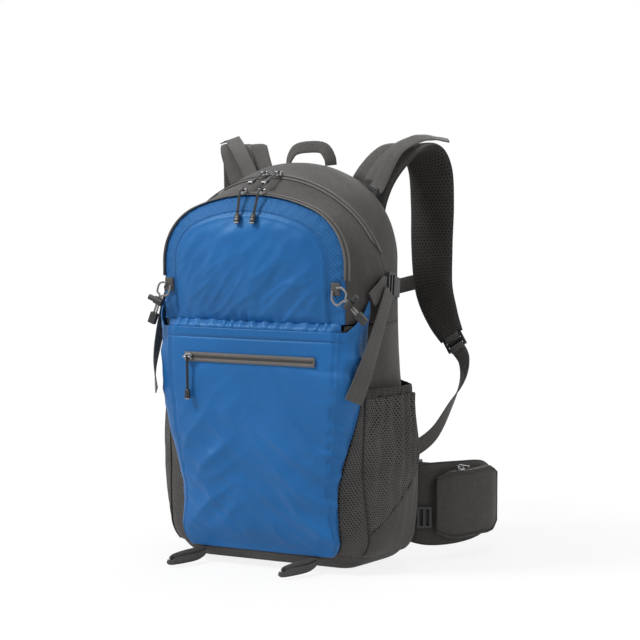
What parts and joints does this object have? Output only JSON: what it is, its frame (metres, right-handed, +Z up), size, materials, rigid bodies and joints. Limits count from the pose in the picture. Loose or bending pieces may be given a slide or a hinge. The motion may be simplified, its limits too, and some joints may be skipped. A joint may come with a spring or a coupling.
{
  "type": "hiking daypack",
  "caption": "Hiking daypack with an arched zipped front flap and panel, a stash pocket, mesh side pockets, padded shoulder straps and a hip belt with zipped pockets.",
  "frame": {"origin": "on the ground under the middle of the base", "axes": "+Z up, +Y towards the wearer's back, the front panel faces -Y"},
  "size_m": [0.4381, 0.3979, 0.5474],
  "materials": {
    "blue": "satin ripstop nylon",
    "gray": "matt woven nylon",
    "lining": "plain lining cloth",
    "tape": "coated zip tape",
    "webbing": "ribbed webbing",
    "mesh": "knitted mesh",
    "sheet": "stiff plastic sheet",
    "black": "moulded black plastic",
    "metal": "plated zip metal",
    "elastic": "covered elastic cord"
  },
  "bodies": {
    "pack": {"upper_gusset": "gray", "side_panel_left": "gray", "side_panel_right": "gray", "base_panel": "gray", "back_wall": "gray", "lower_front": "gray", "frame_sheet": "sheet", "back_pads": "mesh", "stash_pocket": "blue", "stash_zip": "tape", "side_pocket_left": "mesh", "side_pocket_right": "mesh", "compression_straps": "webbing", "compression_buckles": "black", "haul_loop": "webbing", "shoulder_strap_left": "mesh", "shoulder_strap_right": "mesh", "load_lifter_straps": "webbing", "ladder_locks": "black", "lower_webbing": "webbing", "sternum_webbing_left": "webbing", "sternum_socket": "black", "tool_loops": "webbing", "main_zip_rear_tape": "tape"},
    "flap": {"flap_gusset": "gray", "flap_divider": "lining", "flap_zip_tapes": "tape"},
    "panel": {"front_panel": "blue", "panel_zip_front_tape": "tape", "bungee_tabs": "webbing", "bungee_cord_left": "elastic", "bungee_cord_right": "elastic", "cord_lock_barrels": "black", "cord_ends": "black"},
    "sternum_right": {"sternum_webbing_right": "webbing", "sternum_plug": "black"},
    "hip_left": {"hip_wing_left": "gray", "hip_pocket_left": "gray", "hip_lock_left": "black", "hip_webbing_left": "webbing", "hip_buckle_socket": "black"},
    "hip_right": {"hip_wing_right": "gray", "hip_pocket_right": "gray", "hip_lock_right": "black", "hip_webbing_right": "webbing", "hip_buckle_plug": "black"},
    "main_zip_slider_left": {"main_zip_slider_left": "metal"},
    "main_zip_slider_right": {"main_zip_slider_right": "metal"},
    "main_zip_pull_left": {"main_zip_pull_left": "black"},
    "main_zip_pull_right": {"main_zip_pull_right": "black"},
    "panel_zip_slider_left": {"panel_zip_slider_left": "metal"},
    "panel_zip_slider_right": {"panel_zip_slider_right": "metal"},
    "panel_zip_pull_left": {"panel_zip_pull_left": "black"},
    "panel_zip_pull_right": {"panel_zip_pull_right": "black"},
    "stash_zip_slider": {"stash_zip_slider": "metal"},
    "stash_zip_pull": {"stash_zip_pull": "black"},
    "hip_zip_slider_left": {"hip_zip_slider_left": "metal"},
    "hip_zip_slider_right": {"hip_zip_slider_right": "metal"},
    "cord_lock_button_left": {"cord_lock_button_left": "black"},
    "cord_lock_button_right": {"cord_lock_button_right": "black"}
  },
  "joints": [
    {"name": "flap_open", "type": "hinge", "parent": "pack", "child": "flap", "pos_m": [0, -0.0847, 0.312], "axis": [1, 0, 0], "range_deg": [0, 55]},
    {"name": "panel_open", "type": "hinge", "parent": "flap", "child": "panel", "pos_m": [0, -0.0847, 0.312], "axis": [1, 0, 0], "range_deg": [0, 22]},
    {"name": "main_zip_run_left", "type": "hinge", "parent": "flap", "child": "main_zip_slider_left", "pos_m": [0, -0.01262, 0.33541], "axis": [0, 0.9914, 0.1305], "range_deg": [-28, 0]},
    {"name": "main_zip_pull_swing_left", "type": "hinge", "parent": "main_zip_slider_left", "child": "main_zip_pull_left", "pos_m": [-0.01004, -0.03564, 0.49794], "axis": [0.9981, -0.008, 0.0605], "range_deg": [-110, 0]},
    {"name": "main_zip_run_right", "type": "hinge", "parent": "flap", "child": "main_zip_slider_right", "pos_m": [0, -0.01262, 0.33541], "axis": [0, 0.9914, 0.1305], "range_deg": [0, 28]},
    {"name": "main_zip_pull_swing_right", "type": "hinge", "parent": "main_zip_slider_right", "child": "main_zip_pull_right", "pos_m": [0.01004, -0.03564, 0.49794], "axis": [0.9981, 0.008, -0.0605], "range_deg": [-110, 0]},
    {"name": "panel_zip_run_left", "type": "hinge", "parent": "panel", "child": "panel_zip_slider_left", "pos_m": [0, -0.08315, 0.25918], "axis": [0, 1, 0], "range_deg": [-17, 0]},
    {"name": "panel_zip_pull_swing_left", "type": "hinge", "parent": "panel_zip_slider_left", "child": "panel_zip_pull_left", "pos_m": [-0.01329, -0.08412, 0.47653], "axis": [0.9981, 0, 0.061], "range_deg": [-100, 0]},
    {"name": "panel_zip_run_right", "type": "hinge", "parent": "panel", "child": "panel_zip_slider_right", "pos_m": [0, -0.08315, 0.25918], "axis": [0, 1, 0], "range_deg": [0, 17]},
    {"name": "panel_zip_pull_swing_right", "type": "hinge", "parent": "panel_zip_slider_right", "child": "panel_zip_pull_right", "pos_m": [0.01329, -0.08412, 0.47653], "axis": [0.9981, 0, -0.061], "range_deg": [-100, 0]},
    {"name": "stash_zip_run", "type": "slide", "parent": "pack", "child": "stash_zip_slider", "axis": [1, 0, 0], "range_m": [0, 0.168]},
    {"name": "stash_zip_pull_swing", "type": "hinge", "parent": "stash_zip_slider", "child": "stash_zip_pull", "pos_m": [-0.0855, -0.10225, 0.267], "axis": [1, 0, 0], "range_deg": [-110, 0]},
    {"name": "hip_swing_left", "type": "hinge", "parent": "pack", "child": "hip_left", "pos_m": [-0.132, 0.08665, 0.068], "axis": [0, 0, 1], "range_deg": [-30, 10]},
    {"name": "hip_zip_run_left", "type": "slide", "parent": "hip_left", "child": "hip_zip_slider_left", "axis": [-0.3075, 0.9516, 0], "range_m": [0, 0.05]},
    {"name": "hip_swing_right", "type": "hinge", "parent": "pack", "child": "hip_right", "pos_m": [0.132, 0.08665, 0.068], "axis": [0, 0, 1], "range_deg": [-10, 30]},
    {"name": "hip_zip_run_right", "type": "slide", "parent": "hip_right", "child": "hip_zip_slider_right", "axis": [0.3075, 0.9516, 0], "range_m": [0, 0.05]},
    {"name": "cord_lock_press_left", "type": "slide", "parent": "panel", "child": "cord_lock_button_left", "axis": [0.9326, 0, -0.361], "range_m": [0, 0.0035], "stiffness_N_per_m": 400},
    {"name": "cord_lock_press_right", "type": "slide", "parent": "panel", "child": "cord_lock_button_right", "axis": [-0.6971, 0, -0.717], "range_m": [0, 0.0035], "stiffness_N_per_m": 400},
    {"name": "sternum_unplug", "type": "slide", "parent": "pack", "child": "sternum_right", "axis": [1, 0, 0], "range_m": [0, 0.02]}
  ]
}
